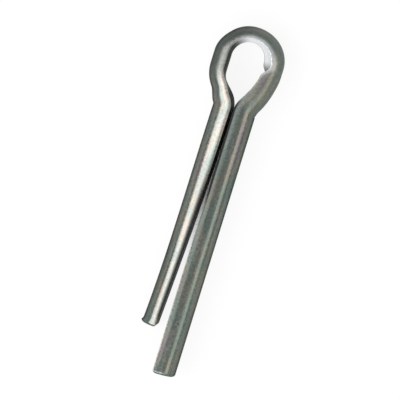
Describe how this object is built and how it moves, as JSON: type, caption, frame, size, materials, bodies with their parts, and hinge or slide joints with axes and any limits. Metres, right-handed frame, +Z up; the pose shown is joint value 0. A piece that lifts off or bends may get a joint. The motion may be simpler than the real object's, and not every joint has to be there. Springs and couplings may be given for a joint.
{
  "type": "cotter pin",
  "caption": "Split pin folded from half-round wire with a round eye, a long leg and a shorter splayed leg, pushed through a cross hole and bent open to lock it.",
  "frame": {"origin": "under the middle of the pin, on the surface that it lies on", "axes": "+Y along the legs towards the eye, +X towards the long leg's side, +Z up out of the surface it lies on"},
  "size_m": [0.0068, 0.0342, 0.0036],
  "materials": {
    "zinc_steel": "dull zinc plate over drawn wire, streaked along its length"
  },
  "bodies": {
    "root": {"cotter_pin": "zinc_steel"}
  },
  "joints": []
}
